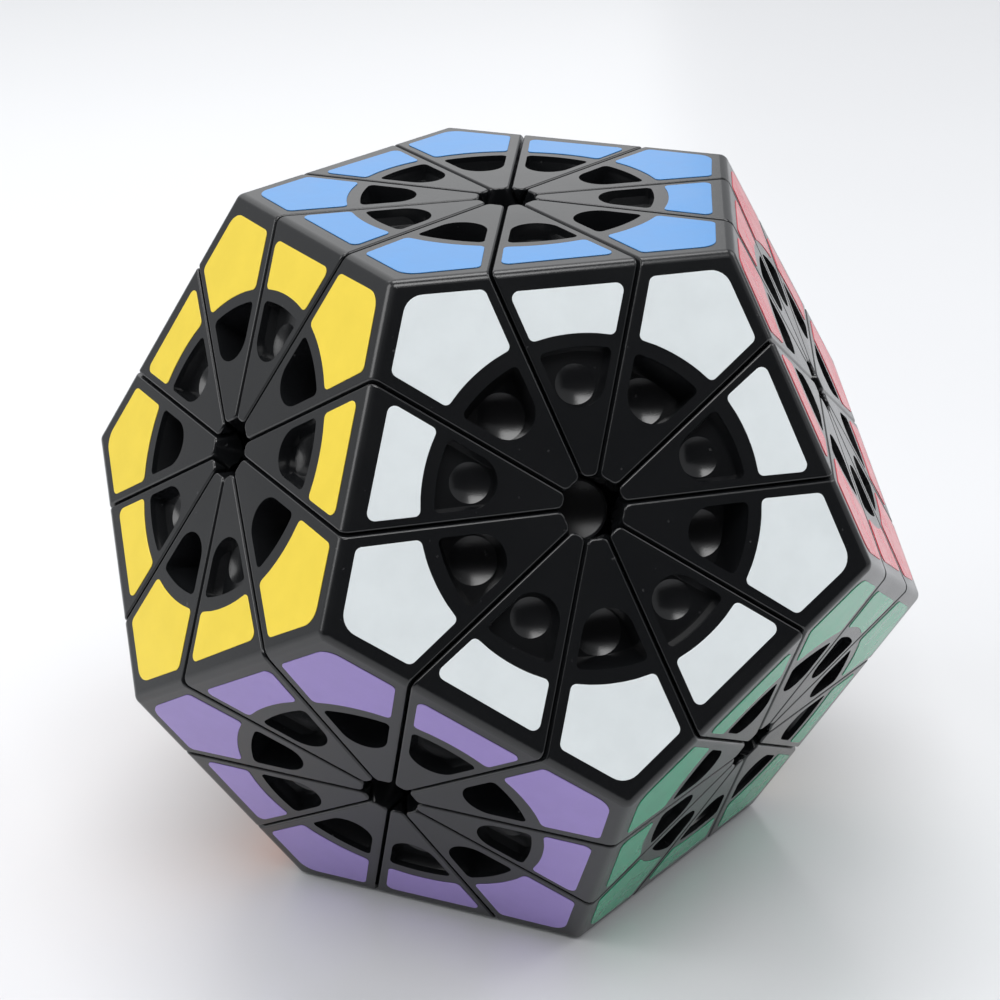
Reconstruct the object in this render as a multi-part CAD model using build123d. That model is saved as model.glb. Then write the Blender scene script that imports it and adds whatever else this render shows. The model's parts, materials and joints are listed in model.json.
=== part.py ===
from build123d import *
import math
import os

# Twelve-faced twisty puzzle, 72 mm across opposite faces.
# Pieces are built about the puzzle's middle, with +Z up through the top face, and lifted as they are
# saved, so the origin of the written parts is the centre of the face the puzzle rests on.

# ---- driving dimensions, mm ----
INR = 36.0                    # middle to each flat face
CUT = INR / math.sqrt(5)      # middle to each cut plane: the five cuts of a face meet at its centre
GAP = 0.22                    # running gap between neighbouring pieces
EDGE_R = 1.05                 # rounding of the thirty outside edges
RIM_R = 0.22                  # softened rims along the cuts
TIP_R = 2.85                  # opening left by the ten wedge tips at a face centre
TIP_DEPTH = 6.0
TIP_CORNER_R = 0.66           # rounded corners of the wedge tips
PLATE = 1.8                   # wall under every outside face of a corner
WALL = 1.3                    # walls along the cuts
EDGE_WALL = 0.5               # beside the pockets of the thinner edge pieces
FLOOR_R = 29.6                # rounded floor inside the hollow corners
INNER_R = 26.0                # outside radius of the hidden inner edges

# D-shaped window in every wedge, with a pocket behind it and a round bowl in the pocket's floor
WIN_MARGIN = 1.1
WIN_OUTER = 14.8
WIN_END_R = 2.52
WIN_CORNER_R = 0.55
WIN_RIM_R = 0.3
WIN_STEP = 0.6                # upright part of a pocket's outer wall, above the slope
WIN_SLOPE = 16.0              # slope of the outer wall, degrees
WIN_CLEAR = 8.0               # every window is further than this from the axis of its face
BOWL_AT = 11.5                # bowl to the axis of the face
CORNER_POCKET = 4.2           # depth of a corner's pockets
CORNER_BOWL = (2.3, 6.0)      # radius of the bowl's rim and of its sphere
EDGE_POCKET = 1.6
EDGE_BOWL = (1.9, 5.2)
POCKET_SIDE = 0.9             # wall between a corner's pockets and its sealed hollow
POCKET_FLOOR = 2.3

# ring tongues that hold the pieces in: (inner radius, outer radius, depth below the cut plane)
RING_IN = (13.4, 16.0, 2.2)
RING_OUT = (27.2, 29.6, 1.9)

# core, screws, springs, caps
CORE_R = 9.0
BOSS_R = 3.6
BOSS_END = 15.7
BORE_R = 1.56
SCREW_R = 1.5
WELL_R = 4.0
WELL_FLOOR = 18.4
CENTRE_TOP = 23.5
CENTRE_R = 9.0
SPRING_R = 2.55
SPRING_WIRE = 0.3
SPRING_TURNS = 4
WASHER_R = 3.2
WASHER_T = 0.5
HEAD_R = 2.9
HEAD_T = 1.5
SPRING_TOP = 22.3
SLOT = (3.2, 0.7, 0.8)        # cross slot in a screw head: length, width, depth
CAP_R = 4.75                  # foot of the dished cap
CAP_TOP = 29.4
CAP_TOP_R = 3.0
CAP_HOLLOW = 1.2              # room for the screw head above the foot
CAP_HOLLOW_R = 3.3
DISH_R = 2.75
DISH_SPHERE = 6.6
SPIGOT = 2.2
SPIGOT_R = 3.95
THREAD_FIT = 0.02
SEAT_FIT = 0.02               # cap above the centre piece
SPRING_FIT = 0.03

HALF = GAP / 2
FAR = 60.0
LAP = 0.4                     # overlap of the joined parts of one piece
NEAR = 1e-3
RIM_REACH = 0.7               # rims lie within this of a face, measured down its axis


# ---- the twelve turning axes ----
def ring_axis(azimuth, z):
    flat = math.sqrt(1 - z * z)
    return Vector(flat * math.cos(math.radians(azimuth)), flat * math.sin(math.radians(azimuth)), z)


LOW = 1 / math.sqrt(5)
AXES = {
    "blue": Vector(0, 0, 1),
    "white": ring_axis(-90, LOW),
    "red": ring_axis(-18, LOW),
    "pink": ring_axis(54, LOW),
    "lime": ring_axis(126, LOW),
    "yellow": ring_axis(198, LOW),
    "green": ring_axis(-54, -LOW),
    "cream": ring_axis(18, -LOW),
    "grey": ring_axis(90, -LOW),
    "orange": ring_axis(162, -LOW),
    "purple": ring_axis(234, -LOW),
    "sky": Vector(0, 0, -1),
}
NAMES = list(AXES)


def touching(a, b):
    return abs(AXES[a].dot(AXES[b]) - LOW) < 1e-6


EDGES = [(a, b) for i, a in enumerate(NAMES) for b in NAMES[i + 1:] if touching(a, b)]
CORNERS = [
    (a, b, c)
    for i, a in enumerate(NAMES)
    for j, b in enumerate(NAMES[i + 1:], i + 1)
    for c in NAMES[j + 1:]
    if touching(a, b) and touching(b, c) and touching(a, c)
]


def ends(a, b):
    """The two faces at the ends of the edge between faces a and b."""
    return [c for c in NAMES if touching(a, c) and touching(b, c)]


def beyond(a, b, c):
    """The three faces across the edges that meet at a corner, each touching two of its faces."""
    pairs = ((a, b, c), (b, c, a), (a, c, b))
    return [m for p, q, r in pairs for m in ends(p, q) if m != r]


# ---- frames ----
def axis_plane(n, toward):
    """A plane through the middle, its normal along n and its X toward another direction."""
    flat = toward - n * toward.dot(n)
    return Plane(origin=(0, 0, 0), x_dir=flat, z_dir=n)


def corner_plane(c):
    total = AXES[c[0]] + AXES[c[1]] + AXES[c[2]]
    return axis_plane(total.normalized(), AXES[c[0]])


def edge_plane(e):
    total = AXES[e[0]] + AXES[e[1]]
    return axis_plane(total.normalized(), AXES[e[0]])


def face_plane(a):
    near = [b for b in NAMES if touching(a, b)]
    return axis_plane(AXES[a], AXES[near[0]])


def copy_to(shape, home, target):
    return shape.moved(target.location * home.location.inverse())


# ---- cutting tools ----
def slab(n, start):
    """Everything further than start along n."""
    where = Plane(origin=n * start, z_dir=n)
    return where * Box(2 * FAR, 2 * FAR, FAR, align=(Align.CENTER, Align.CENTER, Align.MIN))


def ring(n, low, high, r_in, r_out):
    """A ring about the axis n between two heights."""
    where = Plane(origin=n * low, z_dir=n)
    height = high - low
    base = (Align.CENTER, Align.CENTER, Align.MIN)
    return where * (Cylinder(r_out, height, align=base) - Cylinder(r_in, height, align=base))


def groove(n, spec, wall=0.0):
    """The ring-shaped room below a cut plane that a tongue runs in, with half a gap more."""
    r_in, r_out, depth = spec
    more = HALF + wall
    return ring(n, CUT - depth - more, CUT + 1, r_in - more, r_out + more)


def tongue(a, spec, inside):
    """The part of a ring tongue below the cut plane of axis a that belongs to one piece."""
    r_in, r_out, depth = spec
    shape = ring(AXES[a], CUT - depth + HALF, CUT + HALF + LAP, r_in + HALF, r_out - HALF)
    for b in inside:
        shape &= slab(AXES[b], CUT + HALF)
    return shape


def twelve_sided(inradius):
    solid = Box(2.6 * inradius, 2.6 * inradius, 2.6 * inradius)
    for n in AXES.values():
        solid -= slab(n, inradius)
    return solid


def outside_body():
    solid = twelve_sided(INR)
    return fillet(solid.edges(), EDGE_R)


def window_shape(grow=0.0):
    """Outline of the window in a wedge that points along +X, or a larger outline round it."""
    start = (WIN_MARGIN - grow) / math.sin(math.radians(18))
    reach = 30
    half = (reach - start) * math.tan(math.radians(18))
    shape = Polygon((start, 0), (reach, -half), (reach, half), align=None) & Circle(WIN_OUTER + grow)
    tip = shape.vertices().sort_by(Axis.X)[0]
    shape = fillet(tip, WIN_END_R + grow)
    far = shape.vertices().sort_by(Axis.X)[-2:]
    return fillet(far, WIN_CORNER_R + grow)


def wedge_frame(a, direction):
    """On face a, X pointing from the face centre along the middle of a wedge."""
    n = AXES[a]
    flat = direction - n * direction.dot(n)
    return Plane(origin=n * INR, x_dir=flat, z_dir=n)


def window(a, direction, depth, grow=0.0):
    """A pocket behind a window: upright sides and an outer wall that slopes in under a short step."""
    room = extrude(wedge_frame(a, direction) * window_shape(grow), amount=depth, dir=-AXES[a])
    slope = math.tan(math.radians(WIN_SLOPE))
    low = WIN_OUTER + grow - (depth + 1 - WIN_STEP) * slope
    high = WIN_OUTER + grow + (1 + WIN_STEP) * slope
    where = Plane(origin=AXES[a] * (INR - depth - 1), z_dir=AXES[a])
    return room & where * Cone(low, high, depth + 2, align=(Align.CENTER, Align.CENTER, Align.MIN))


def bowl(a, direction, depth, spec):
    """A round hollow in the floor of a pocket of this depth."""
    rim, sphere = spec
    rise = math.sqrt(sphere ** 2 - rim ** 2)
    where = wedge_frame(a, direction) * Location((BOWL_AT, 0, rise - depth))
    return where * Rot(90, 0, 0) * Sphere(sphere) - slab(AXES[a], INR - depth)


def tip_hole(a):
    where = Plane(origin=AXES[a] * (INR - TIP_DEPTH), z_dir=AXES[a])
    return where * Cylinder(TIP_R, TIP_DEPTH + 2, align=(Align.CENTER, Align.CENTER, Align.MIN))


# ---- rim finishing ----
def is_tip_corner(edge, faces, own, others):
    """The upright edges where a tip opening meets the cuts."""
    mid = edge @ 0.5
    return on_cut(mid, own, others) and any(
        abs(axis_distance(mid, a) - TIP_R) < NEAR and AXES[a].dot(mid) > INR - TIP_DEPTH - LAP for a in faces)


def on_cut(p, own, others):
    for a in own:
        if abs(AXES[a].dot(p) - CUT - HALF) < NEAR:
            return True
    for a in others:
        if abs(AXES[a].dot(p) - CUT + HALF) < NEAR:
            return True
    return False


def axis_distance(p, a):
    n = AXES[a]
    return (p - n * p.dot(n)).length


def is_rim(edge, faces, own, others):
    """Edges where an outside face meets a cut wall or the tip opening."""
    mid = edge @ 0.5
    height = max(AXES[a].dot(mid) for a in faces)
    if height < INR - RIM_REACH:
        return False
    if on_cut(mid, own, others):
        near = [(edge @ t).dot(AXES[a]) for a in faces for t in (0.0, 1.0)]
        return min(max(near[0::2]), max(near[1::2])) > INR - RIM_REACH
    return any(
        abs(axis_distance(mid, a) - TIP_R) < NEAR and abs(AXES[a].dot(mid) - INR) < NEAR for a in faces)


def is_window_rim(edge, faces):
    for a in faces:
        spots = [edge @ t for t in (0.0, 0.5, 1.0)]
        if abs(AXES[a].dot(spots[1]) - INR) < NEAR:
            if all(WIN_CLEAR < axis_distance(p, a) < WIN_OUTER + WIN_RIM_R / 2 for p in spots):
                return True
    return False


def largest(shape):
    return max(shape.solids(), key=lambda s: s.volume)


def soften(solid, edges, radius):
    """Round a set of edges together, or one by one where they can't go together."""
    if not edges:
        return solid
    try:
        done = fillet(edges, radius)
        if done.is_valid:
            return largest(done)
    except ValueError:
        pass
    print("edges rounded one by one:", len(edges))
    for mid in [e @ 0.5 for e in edges]:
        near = min(solid.edges(), key=lambda e: (e @ 0.5 - mid).length)
        try:
            done = fillet(near, radius)
        except ValueError:
            continue
        if done.is_valid:
            solid = largest(done)
    return solid


# ---- outside pieces ----
def corner_cavity(own, far_side):
    room = twelve_sided(INR - PLATE) - Sphere(FLOOR_R)
    for a in own:
        room &= slab(AXES[a], CUT + HALF + WALL)
    for a in far_side:
        room -= slab(AXES[a], CUT - HALF - WALL)
        room -= groove(AXES[a], RING_OUT, WALL)
    return largest(room)


def make_corner(own):
    far_side = beyond(*own)
    solid = outside_body()
    for a in own:
        solid &= slab(AXES[a], CUT + HALF)
    for a in far_side:
        solid -= slab(AXES[a], CUT - HALF)
        solid -= groove(AXES[a], RING_OUT)
    for a in own:
        solid -= tip_hole(a)
    solid = largest(solid)
    solid = soften(solid, [e for e in solid.edges() if is_tip_corner(e, own, (), far_side)], TIP_CORNER_R)
    solid = soften(solid, [e for e in solid.edges() if is_rim(e, own, (), far_side)], RIM_R)
    middle = AXES[own[0]] + AXES[own[1]] + AXES[own[2]]
    hollow = corner_cavity(own, far_side)
    for a in own:
        hollow -= window(a, middle, CORNER_POCKET + POCKET_FLOOR, grow=POCKET_SIDE)
    solid -= largest(hollow)
    for a in own:
        solid -= window(a, middle, CORNER_POCKET)
        solid -= bowl(a, middle, CORNER_POCKET, CORNER_BOWL)
        solid += tongue(a, RING_IN, [b for b in own if b != a])
    solid = largest(solid)
    return soften(solid, [e for e in solid.edges() if is_window_rim(e, own)], WIN_RIM_R)


def edge_pocket(a, middle, far_side):
    """The window and the tapering pocket behind it."""
    room = window(a, middle, EDGE_POCKET)
    for b in far_side:
        room &= slab(AXES[b], CUT + HALF + EDGE_WALL)
    return largest(room)


def make_edge(own):
    far_side = ends(*own)
    solid = outside_body()
    for a in far_side:
        solid &= slab(AXES[a], CUT + HALF)
    for a in own:
        solid -= tip_hole(a)
    solid = largest(solid)
    solid = soften(solid, [e for e in solid.edges() if is_tip_corner(e, own, far_side, ())], TIP_CORNER_R)
    solid = soften(solid, [e for e in solid.edges() if is_rim(e, own, far_side, ())], RIM_R)
    for a, b in (far_side, far_side[::-1]):
        solid += tongue(a, RING_OUT, [b])
    middle = AXES[own[0]] + AXES[own[1]]
    for a in own:
        solid -= edge_pocket(a, middle, far_side)
        solid -= bowl(a, middle, EDGE_POCKET, EDGE_BOWL)
    solid = largest(solid)
    return soften(solid, [e for e in solid.edges() if is_window_rim(e, own)], WIN_RIM_R)


# ---- hidden pieces ----
def make_inner_edge(own):
    solid = Sphere(INNER_R)
    for a in own:
        solid &= slab(AXES[a], CUT + HALF)
    for a in ends(*own):
        solid -= slab(AXES[a], CUT - HALF)
    for a, b in (own, own[::-1]):
        foot = tongue(a, RING_IN, [b])
        for c in ends(*own):
            foot -= slab(AXES[c], CUT - HALF)
        solid += foot
    for a in ends(*own):
        solid -= groove(AXES[a], RING_IN)
    return largest(solid)


def bar(a, start, stop, radius):
    """A round bar along an axis between two heights."""
    where = Plane(origin=AXES[a] * start, z_dir=AXES[a])
    return where * Cylinder(radius, stop - start, align=(Align.CENTER, Align.CENTER, Align.MIN))


def make_centre(a):
    solid = slab(AXES[a], CUT + HALF) - slab(AXES[a], CENTRE_TOP)
    for b in NAMES:
        if touching(a, b):
            solid -= slab(AXES[b], CUT - HALF)
            solid -= groove(AXES[b], RING_IN)
    solid = largest(solid & bar(a, CUT, CENTRE_TOP + 1, CENTRE_R))
    solid -= bar(a, CUT - 1, CENTRE_TOP, BORE_R)
    return solid - bar(a, WELL_FLOOR, CENTRE_TOP + 1, WELL_R)


def make_cap(a):
    """A hollow cap over the screw, dished on top."""
    foot = CENTRE_TOP + SEAT_FIT
    base = (Align.CENTER, Align.CENTER, Align.MIN)
    where = Plane(origin=AXES[a] * foot, z_dir=AXES[a])
    shell = where * Cone(CAP_R, CAP_TOP_R, CAP_TOP - foot, align=base)
    shell += bar(a, foot - SPIGOT, foot + LAP, SPIGOT_R)
    rise = math.sqrt(DISH_SPHERE ** 2 - DISH_R ** 2)
    shell -= Plane(origin=AXES[a] * (CAP_TOP + rise), z_dir=AXES[a]) * Rot(90, 0, 0) * Sphere(DISH_SPHERE)
    return shell - bar(a, foot - SPIGOT - 1, foot + CAP_HOLLOW, CAP_HOLLOW_R)


def make_core():
    solid = Sphere(CORE_R)
    for a in NAMES:
        solid += bar(a, 0, BOSS_END, BOSS_R)
    for a in NAMES:
        solid -= bar(a, CORE_R - 1, BOSS_END + 1, SCREW_R + THREAD_FIT)
    return solid


def make_screw(a):
    seat = SPRING_TOP + WASHER_T
    solid = bar(a, CORE_R - 0.5, seat + LAP, SCREW_R) + bar(a, seat, seat + HEAD_T, HEAD_R)
    length, width, depth = SLOT
    slot = face_plane(a).offset(seat + HEAD_T - depth)
    for turn in (0, 90):
        base = (Align.CENTER, Align.CENTER, Align.MIN)
        solid -= slot * Rot(0, 0, turn) * Box(length, width, 2 * depth, align=base)
    return solid


def make_washer(a):
    return bar(a, SPRING_TOP, SPRING_TOP + WASHER_T, WASHER_R) - bar(a, SPRING_TOP - 1, SPRING_TOP + 1, BORE_R)


def make_spring(a):
    start = WELL_FLOOR + SPRING_WIRE + SPRING_FIT
    height = SPRING_TOP - SPRING_WIRE - SPRING_FIT - start
    path = Helix(height / SPRING_TURNS, height, SPRING_R)
    wire = sweep(Plane(origin=path @ 0, z_dir=path % 0) * Circle(SPRING_WIRE), path=path)
    return face_plane(a).offset(start) * wire


# ---- the whole puzzle ----
def save(solids, name):
    shape = solids[0] if len(solids) == 1 else Compound(solids)
    export_step(shape.moved(Location((0, 0, INR))), "parts/" + name + ".step")
    print(name, len(solids))


def save_by_body(make_copy, items, top_test, bottom_test, label):
    """One node for the copies in each turning body: top, bottom and middle."""
    top = [m for m in items if top_test(m)]
    bottom = [m for m in items if bottom_test(m)]
    middle = [m for m in items if m not in top and m not in bottom]
    for where, group in (("top", top), ("bottom", bottom), ("middle", middle)):
        save([s for m in group for s in make_copy(m)], where + "_" + label)


def main():
    os.makedirs("parts", exist_ok=True)
    corner_home = corner_plane(CORNERS[0])
    corner = make_corner(CORNERS[0])
    for c in CORNERS:
        save([copy_to(corner, corner_home, corner_plane(c))], "corner_" + "_".join(c))
    edge_home = edge_plane(EDGES[0])
    edge = make_edge(EDGES[0])
    for e in EDGES:
        save([copy_to(edge, edge_home, edge_plane(e))], "edge_" + "_".join(e))

    inner = make_inner_edge(EDGES[0])
    save_by_body(
        lambda e: [copy_to(inner, edge_home, edge_plane(e))],
        EDGES, lambda e: "blue" in e, lambda e: "sky" in e, "inner_edges",
    )
    home = face_plane("blue")
    centre = make_centre("blue")
    cap = make_cap("blue")
    save_by_body(
        lambda a: [copy_to(centre, home, face_plane(a)), copy_to(cap, home, face_plane(a))],
        NAMES, lambda a: a == "blue", lambda a: a == "sky", "centres_and_caps",
    )
    save([make_core()], "core")
    for label, shape in (
        ("axis_screws", make_screw("blue")),
        ("screw_washers", make_washer("blue")),
        ("tension_springs", make_spring("blue")),
    ):
        save([copy_to(shape, home, face_plane(a)) for a in NAMES], label)


main()
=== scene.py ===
import bmesh
import bpy
import json
import math
import random
from mathutils import Matrix, Vector


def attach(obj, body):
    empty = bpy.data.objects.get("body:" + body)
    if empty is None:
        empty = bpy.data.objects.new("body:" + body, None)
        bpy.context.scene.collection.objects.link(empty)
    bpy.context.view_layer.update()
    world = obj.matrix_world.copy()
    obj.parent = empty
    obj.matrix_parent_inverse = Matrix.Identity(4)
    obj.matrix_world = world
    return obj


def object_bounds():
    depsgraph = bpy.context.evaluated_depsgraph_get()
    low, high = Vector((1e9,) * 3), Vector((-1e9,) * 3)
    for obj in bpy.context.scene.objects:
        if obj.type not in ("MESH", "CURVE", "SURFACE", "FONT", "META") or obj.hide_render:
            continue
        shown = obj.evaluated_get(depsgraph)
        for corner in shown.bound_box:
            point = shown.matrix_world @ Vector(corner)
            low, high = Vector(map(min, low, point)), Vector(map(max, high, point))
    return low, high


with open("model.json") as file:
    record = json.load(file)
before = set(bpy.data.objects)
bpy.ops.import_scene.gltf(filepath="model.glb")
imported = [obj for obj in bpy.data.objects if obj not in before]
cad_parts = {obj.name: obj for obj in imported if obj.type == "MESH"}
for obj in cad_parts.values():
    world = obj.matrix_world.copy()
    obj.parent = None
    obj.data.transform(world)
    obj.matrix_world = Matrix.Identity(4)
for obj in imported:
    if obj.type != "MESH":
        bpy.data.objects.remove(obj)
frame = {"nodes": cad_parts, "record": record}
cad_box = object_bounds()

MM = 0.001

# ---- the puzzle, from the frame ----
LOWEST, HIGHEST = cad_box
INR = (HIGHEST.z - LOWEST.z) / 2                  # middle to each flat face
MIDDLE = Vector((0, 0, LOWEST.z + INR))
FACE_TILT = math.atan(2)                          # between two neighbouring face directions
APOTHEM = INR * math.tan(FACE_TILT / 2)           # face centre to a side of its pentagon
WEDGE_HALF = 18                                   # degrees; a face has ten wedges
BODIES = frame["record"]["behaviour"]["bodies"]
BODY_OF = {node: body for body, nodes in BODIES.items() for node in nodes}
SLOT_OF = {part["node"]: part["material_slot"] for part in frame["record"]["subparts"]}

# ---- stickers ----
VINYL = 0.09 * MM                # thickness
VINYL_SINK = 0.02 * MM           # glue line, sunk into the plastic
VINYL_ROUND = 0.03 * MM          # worn upper rim
SIDE_MARGIN = 1.05 * MM          # to the cuts beside a wedge
EDGE_STICKER_MARGIN = 1.8 * MM   # to the sharp outline of the face
CORNER_STICKER_MARGIN = 1.6 * MM
INNER_ARC = 16.15 * MM           # radius of every sticker's inner arc, about the face centre
STICKER_R = 0.7 * MM             # at its outer corners
INNER_STICKER_R = 0.8 * STICKER_R    # where its sides meet the inner arc
BLUNT_R = 2.0 * MM               # at the outer point of a corner sticker
CORNER_STEPS = 6                 # straight steps in a rounded corner
ARC_STEPS = 14                   # and in the inner arc
ARC_ENDS = 3                     # points at each end of the arc that its corner replaces
SHIFT = 0.16 * MM                # how far off a hand-placed sticker may be, each way
TWIST = 1.1                      # and how far turned, in degrees

COLOURS = {
    "blue": (0.05, 0.235, 0.55),
    "white": (0.765, 0.81, 0.82),
    "red": (0.62, 0.05, 0.075),
    "pink": (0.80, 0.22, 0.38),
    "lime": (0.32, 0.62, 0.10),
    "yellow": (0.86, 0.65, 0.055),
    "green": (0.037, 0.35, 0.19),
    "cream": (0.83, 0.73, 0.52),
    "grey": (0.24, 0.25, 0.26),
    "orange": (0.88, 0.25, 0.03),
    "purple": (0.35, 0.258, 0.615),
    "sky": (0.27, 0.62, 0.84),
}

PLASTIC_IOR = 1.54               # ABS
RELIEF = 0.02 * MM               # depth of the grain of plastic and vinyl
BRUSHED_RELIEF = 0.01 * MM       # and of steel
VINYL_SHADE = 0.955              # darkest clouding, as a share of the colour
STEEL_SHADE = 0.86
DUST = 0.03                      # how much lighter than the plastic a speck is

# ---- camera ----
CAMERA_AT = Vector((-47.8, -196.1, 98.1)) * MM    # from the middle of the puzzle
CAMERA_AZIMUTH = -13.38
CAMERA_ELEVATION = 25.44
CAMERA_ROLL = -0.76
CAMERA_LENS = 74.6               # on a frame 36 mm wide

# ---- stage: metres and degrees ----
FLOOR_RADIUS = 6.0
FLOOR_COLOURS = ((0.69, 0.695, 0.71), (0.71, 0.715, 0.73))
SOFTBOXES = {
    # name: (azimuth, elevation, distance from the middle), (width, height), watts
    "key_softbox": ((-8, 64, 0.9), (0.6, 0.32), 3.5),
    "top_softbox": ((176, 72, 0.9), (0.6, 0.36), 3.4),
    "left_softbox": ((-102, 32, 1.1), (0.6, 0.6), 3.2),
    "right_softbox": ((98, 34, 1.1), (0.6, 0.6), 2.6),
    "back_softbox": ((185, 34, 1.5), (1.4, 1.4), 4.2),
}
ROOM_COLOUR = (0.95, 0.97, 1.0)
ROOM_STRENGTH = 0.48
CARD_AT = (-12, 19, 0.6)         # azimuth, elevation, distance from the middle
CARD_WIDTH = 1.7
CARD_HEIGHT = 0.62
CARD_COLOUR = (0.01, 0.01, 0.011)


def axis(azimuth, height):
    """The unit vector with this azimuth in degrees, from +X, and this height."""
    flat = math.sqrt(1 - height * height)
    turn = math.radians(azimuth)
    return Vector((flat * math.cos(turn), flat * math.sin(turn), height))


def face_normals():
    """The twelve face directions by colour; both rings run anticlockwise seen from above."""
    height = 1 / math.sqrt(5)
    upper = ("white", "red", "pink", "lime", "yellow")
    lower = ("green", "cream", "grey", "orange", "purple")
    normals = {"blue": Vector((0, 0, 1)), "sky": Vector((0, 0, -1))}
    for i in range(5):
        normals[upper[i]] = axis(72 * i - 90, height)
        normals[lower[i]] = axis(72 * i - 54, -height)
    return normals


NORMALS = face_normals()


def mesh_of(name, bm):
    """The mesh built in bm, which this frees."""
    mesh = bpy.data.meshes.new(name)
    bm.to_mesh(mesh)
    bm.free()
    return mesh


def add_object(name, data):
    """An object in the scene that shows this mesh, light or camera."""
    thing = bpy.data.objects.new(name, data)
    bpy.context.scene.collection.objects.link(thing)
    return thing


# ---- materials ----
def shader(name, roughness, metallic=0.0):
    """A new material and its main shader."""
    material = bpy.data.materials.new(name)
    material.use_nodes = True
    principled = material.node_tree.nodes["Principled BSDF"]
    principled.inputs["Metallic"].default_value = metallic
    principled.inputs["Roughness"].default_value = roughness
    return material, principled


def noise(material, per_metre, detail, rough=0.55):
    """A cloudy texture value, fixed to the object."""
    tree = material.node_tree
    where = tree.nodes.new("ShaderNodeTexCoord")
    texture = tree.nodes.new("ShaderNodeTexNoise")
    texture.inputs["Scale"].default_value = per_metre
    texture.inputs["Detail"].default_value = detail
    texture.inputs["Roughness"].default_value = rough
    tree.links.new(where.outputs["Object"], texture.inputs["Vector"])
    return texture.outputs["Fac"]


def blend_colours(material, factor, low, high, start=0.35, end=0.65):
    """A ramp between two colours, driven by a texture."""
    tree = material.node_tree
    ramp = tree.nodes.new("ShaderNodeValToRGB")
    ramp.color_ramp.elements[0].position = start
    ramp.color_ramp.elements[0].color = (*low, 1)
    ramp.color_ramp.elements[1].position = end
    ramp.color_ramp.elements[1].color = (*high, 1)
    tree.links.new(factor, ramp.inputs["Fac"])
    return ramp.outputs["Color"]


def spread(material, factor, low, high):
    """A texture value mapped to a range."""
    tree = material.node_tree
    node = tree.nodes.new("ShaderNodeMapRange")
    node.inputs["From Min"].default_value = 0.3
    node.inputs["From Max"].default_value = 0.7
    node.inputs["To Min"].default_value = low
    node.inputs["To Max"].default_value = high
    tree.links.new(factor, node.inputs["Value"])
    return node.outputs["Result"]


def bump(material, principled, height, strength, depth):
    """Fine relief from a texture value."""
    tree = material.node_tree
    node = tree.nodes.new("ShaderNodeBump")
    node.inputs["Strength"].default_value = strength
    node.inputs["Distance"].default_value = depth
    tree.links.new(height, node.inputs["Height"])
    tree.links.new(node.outputs["Normal"], principled.inputs["Normal"])


def plastic(name, colour, shiny, dull, grain):
    """Black moulded plastic: fine grain, a patchy shine and a few specks of dust."""
    material, principled = shader(name, (shiny + dull) / 2)
    principled.inputs["IOR"].default_value = PLASTIC_IOR
    patches = noise(material, per_metre=90, detail=6)
    fine = noise(material, per_metre=5200, detail=3, rough=0.6)
    dust = noise(material, per_metre=1500, detail=1, rough=0.4)
    dusty = tuple(c + DUST for c in colour)
    specks = blend_colours(material, dust, colour, dusty, start=0.77, end=0.81)
    tree = material.node_tree
    tree.links.new(spread(material, patches, shiny, dull), principled.inputs["Roughness"])
    tree.links.new(specks, principled.inputs["Base Color"])
    bump(material, principled, fine, strength=grain, depth=RELIEF)
    return material


def vinyl(name, colour):
    """Cut vinyl sheet: an even colour with faint clouding and a slight orange-peel surface."""
    material, principled = shader(name, roughness=0.22)
    clouds = noise(material, per_metre=260, detail=5)
    peel = noise(material, per_metre=2600, detail=3)
    darker = tuple(c * VINYL_SHADE for c in colour)
    tint = blend_colours(material, clouds, darker, colour)
    tree = material.node_tree
    tree.links.new(tint, principled.inputs["Base Color"])
    tree.links.new(spread(material, clouds, low=0.17, high=0.26), principled.inputs["Roughness"])
    bump(material, principled, peel, strength=0.12, depth=RELIEF)
    return material


def metal(name, colour, roughness):
    """Brushed steel, of uneven colour and shine."""
    material, principled = shader(name, roughness, metallic=1.0)
    brushed = noise(material, per_metre=3000, detail=4)
    darker = tuple(c * STEEL_SHADE for c in colour)
    tint = blend_colours(material, brushed, darker, colour)
    shine = spread(material, brushed, roughness * 0.8, roughness * 1.3)
    tree = material.node_tree
    tree.links.new(tint, principled.inputs["Base Color"])
    tree.links.new(shine, principled.inputs["Roughness"])
    bump(material, principled, brushed, strength=0.25, depth=BRUSHED_RELIEF)
    return material


NODE_LOOKS = {
    "black_plastic": plastic(
        "black_plastic_look", (0.0065, 0.007, 0.0078), shiny=0.17, dull=0.25, grain=0.2),
    "inner_black_plastic": plastic(
        "inner_black_plastic_look", (0.022, 0.022, 0.024), shiny=0.24, dull=0.32, grain=0.08),
    "screw_steel": metal("screw_steel_look", (0.60, 0.60, 0.61), roughness=0.26),
    "spring_steel": metal("spring_steel_look", (0.53, 0.53, 0.55), roughness=0.22),
}
VINYLS = {name: vinyl("vinyl_" + name + "_look", colour) for name, colour in COLOURS.items()}


def dress_cad_nodes():
    """Every CAD node keeps its shape and gets the look of its material slot."""
    for name, node in frame["nodes"].items():
        look = NODE_LOOKS[SLOT_OF[name]]
        for slot in node.material_slots:
            slot.material = look


# ---- sticker outlines ----
def meet(a, b):
    """Where two lines cross; a line is a unit normal and its distance from the origin."""
    (an, ad), (bn, bd) = a, b
    cross = an.x * bn.y - an.y * bn.x
    return Vector(((ad * bn.y - bd * an.y) / cross, (an.x * bd - bn.x * ad) / cross))


def direction(degrees):
    """A flat unit vector at this angle."""
    return Vector((math.cos(math.radians(degrees)), math.sin(math.radians(degrees))))


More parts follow.
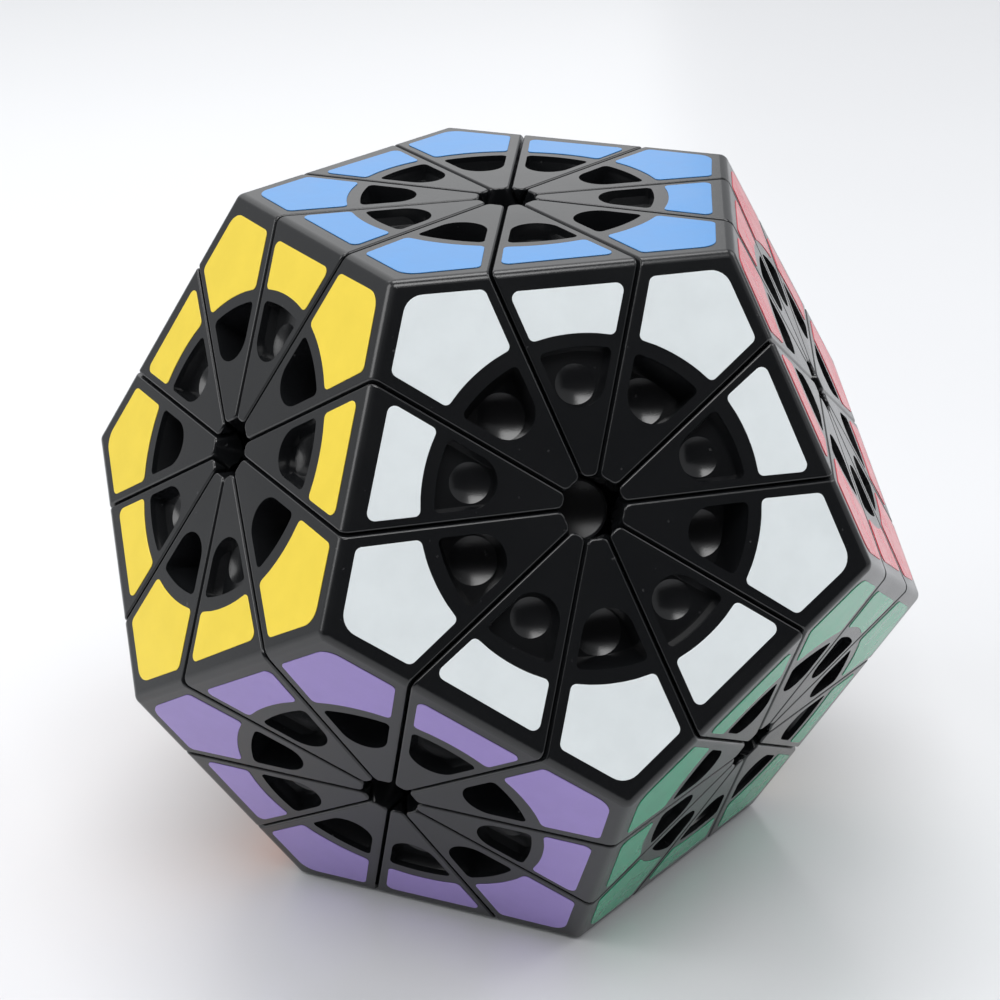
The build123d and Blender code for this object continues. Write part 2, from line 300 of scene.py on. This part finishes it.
def rounded(before, corner, after, radius):
    """Points of an arc of this radius that rounds a corner."""
    back = (before - corner).normalized()
    ahead = (after - corner).normalized()
    half = back.angle(ahead) / 2
    inward = (back + ahead).normalized()
    centre = corner + inward * radius / math.sin(half)
    sweep = math.pi / 2 - half
    side = Vector((-inward.y, inward.x))
    if side.dot(back) < 0:
        side = -side
    angles = [sweep * (1 - 2 * i / CORNER_STEPS) for i in range(CORNER_STEPS + 1)]
    return [centre + (side * math.sin(a) - inward * math.cos(a)) * radius for a in angles]


def inner_arc(start, end):
    """Points along the arc about the face centre from one direction to another."""
    steps = range(ARC_STEPS + 1)
    return [direction(start + (end - start) * i / ARC_STEPS) * INNER_ARC for i in steps]


def sticker_outline(outer_sides, blunt):
    """A wedge's sticker, with X along the middle of the wedge.

    It has a side margin to each cut, one or two outer sides and the inner arc.
    """
    low_side = (direction(-WEDGE_HALF - 90), -SIDE_MARGIN)
    high_side = (direction(WEDGE_HALF + 90), -SIDE_MARGIN)
    lines = [low_side] + outer_sides + [high_side]
    outer = [meet(a, b) for a, b in zip(lines, lines[1:])]
    reach = math.degrees(math.asin(SIDE_MARGIN / INNER_ARC))
    arc = inner_arc(WEDGE_HALF - reach, -WEDGE_HALF + reach)
    corners = [arc[-1]] + outer + [arc[0]]
    points = []
    for i in range(1, len(corners) - 1):
        radius = BLUNT_R if blunt and i == len(corners) // 2 else STICKER_R
        points += rounded(corners[i - 1], corners[i], corners[i + 1], radius)
    points += rounded(corners[-2], arc[0], arc[ARC_ENDS - 1], INNER_STICKER_R)
    points += arc[ARC_ENDS:-ARC_ENDS]
    points += rounded(arc[-ARC_ENDS], arc[-1], corners[1], INNER_STICKER_R)
    return points


EDGE_SIDE = APOTHEM - EDGE_STICKER_MARGIN
CORNER_SIDE = APOTHEM - CORNER_STICKER_MARGIN
EDGE_OUTLINE = sticker_outline([(direction(0), EDGE_SIDE)], blunt=False)
CORNER_OUTLINE = sticker_outline(
    [(direction(-2 * WEDGE_HALF), CORNER_SIDE), (direction(2 * WEDGE_HALF), CORNER_SIDE)],
    blunt=True)


def make_sticker(name, colour, wedge, outline, body):
    """One sticker on the face of its colour, along the middle of a wedge, laid a little off."""
    chance = random.Random(name)
    normal = NORMALS[colour]
    along = (wedge - normal * wedge.dot(normal)).normalized()
    across = normal.cross(along)
    turn = Matrix.Rotation(math.radians(chance.uniform(-TWIST, TWIST)), 2)
    slip = Vector((chance.uniform(-SHIFT, SHIFT), chance.uniform(-SHIFT, SHIFT)))
    pivot = direction(0) * (INNER_ARC + APOTHEM) / 2
    centre = MIDDLE + normal * INR
    bm = bmesh.new()
    ring = []
    for point in outline:
        p = turn @ (point - pivot) + pivot + slip
        ring.append(bm.verts.new(centre + along * p.x + across * p.y - normal * VINYL_SINK))
    base = bm.faces.new(ring)
    raised = bmesh.ops.extrude_face_region(bm, geom=[base])["geom"]
    top = [v for v in raised if isinstance(v, bmesh.types.BMVert)]
    bmesh.ops.translate(bm, vec=normal * VINYL, verts=top)
    bmesh.ops.recalc_face_normals(bm, faces=bm.faces)
    piece = add_object(name, mesh_of(name, bm))
    piece.data.materials.append(VINYLS[colour])
    rim = piece.modifiers.new("worn rim", "BEVEL")
    rim.width = VINYL_ROUND
    rim.segments = 2
    rim.limit_method = "ANGLE"
    rim.angle_limit = math.radians(60)
    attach(piece, body)


def make_stickers():
    """A sticker on each outer face of every corner and edge piece."""
    for node, body in BODY_OF.items():
        kind, *faces = node.split("_")
        if kind not in ("corner", "edge"):
            continue
        middle = sum((NORMALS[f] for f in faces), Vector())
        outline = CORNER_OUTLINE if kind == "corner" else EDGE_OUTLINE
        for face in faces:
            make_sticker("sticker_" + face + "_on_" + node, face, middle, outline, body)


# ---- stage ----
def make_floor():
    """A wide, smooth, nearly white floor under the puzzle."""
    bm = bmesh.new()
    bmesh.ops.create_circle(bm, cap_ends=True, segments=96, radius=FLOOR_RADIUS)
    floor = add_object("studio_floor", mesh_of("studio_floor", bm))
    floor.location.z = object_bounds()[0].z
    material, principled = shader("floor_look", roughness=0.22)
    clouds = noise(material, per_metre=3, detail=3)
    tint = blend_colours(material, clouds, *FLOOR_COLOURS)
    material.node_tree.links.new(tint, principled.inputs["Base Color"])
    floor.data.materials.append(material)


def from_middle(azimuth, elevation, distance):
    """A place round the puzzle; azimuth 0 is in front of it and 90 on its right."""
    turn, rise = math.radians(azimuth), math.radians(elevation)
    flat = math.cos(rise)
    return Vector((math.sin(turn) * flat, -math.cos(turn) * flat, math.sin(rise))) * distance


def make_softboxes():
    """Rectangular lights that face the puzzle; the camera can't see them."""
    for name, (place, size, watts) in SOFTBOXES.items():
        at = from_middle(*place)
        data = bpy.data.lights.new(name, "AREA")
        data.shape = "RECTANGLE"
        data.size, data.size_y = size
        data.energy = watts
        light = add_object(name, data)
        light.location = MIDDLE + at
        light.rotation_mode = "QUATERNION"
        light.rotation_quaternion = (-at).to_track_quat("-Z", "Y")
        light.visible_camera = False


def make_room_light():
    """Even light from all round, as in a white room."""
    world = bpy.data.worlds.new("white_room")
    bpy.context.scene.world = world
    world.use_nodes = True
    background = world.node_tree.nodes["Background"]
    background.inputs["Color"].default_value = (*ROOM_COLOUR, 1)
    background.inputs["Strength"].default_value = ROOM_STRENGTH


def make_dark_card():
    """A black card behind the camera, seen only in reflections; it keeps the front face dark."""
    bm = bmesh.new()
    bmesh.ops.create_grid(bm, x_segments=1, y_segments=1, size=0.5)    # one metre each way
    card = add_object("black_card", mesh_of("black_card", bm))
    toward = from_middle(*CARD_AT)
    card.location = MIDDLE + toward
    card.rotation_mode = "QUATERNION"
    card.rotation_quaternion = toward.to_track_quat("Z", "Y")
    card.scale = (CARD_WIDTH, CARD_HEIGHT, 1)
    card.visible_camera = False
    card.visible_shadow = False
    card.visible_diffuse = False
    material, principled = shader("black_card_look", roughness=0.9)
    principled.inputs["Base Color"].default_value = (*CARD_COLOUR, 1)
    card.data.materials.append(material)


def make_camera():
    """The camera looks down by its elevation, turned by its azimuth from +Y, and rolls."""
    azimuth = math.radians(CAMERA_AZIMUTH)
    elevation = math.radians(CAMERA_ELEVATION)
    roll = math.radians(CAMERA_ROLL)
    flat = math.cos(elevation)
    forward = Vector((-math.sin(azimuth) * flat, math.cos(azimuth) * flat, -math.sin(elevation)))
    right = forward.cross(Vector((0, 0, 1))).normalized()
    up = right.cross(forward)
    turned_right = right * math.cos(roll) + up * math.sin(roll)
    turned_up = up * math.cos(roll) - right * math.sin(roll)
    data = bpy.data.cameras.new("camera")
    data.lens = CAMERA_LENS
    data.sensor_width = 36
    data.clip_start = 0.01
    camera = add_object("camera", data)
    turn = Matrix((turned_right, turned_up, -forward)).transposed()
    camera.matrix_world = Matrix.Translation(MIDDLE + CAMERA_AT) @ turn.to_4x4()
    bpy.context.scene.camera = camera


bpy.context.scene.view_settings.view_transform = "Standard"
dress_cad_nodes()
make_stickers()
make_floor()
make_softboxes()
make_room_light()
make_dark_card()
make_camera()
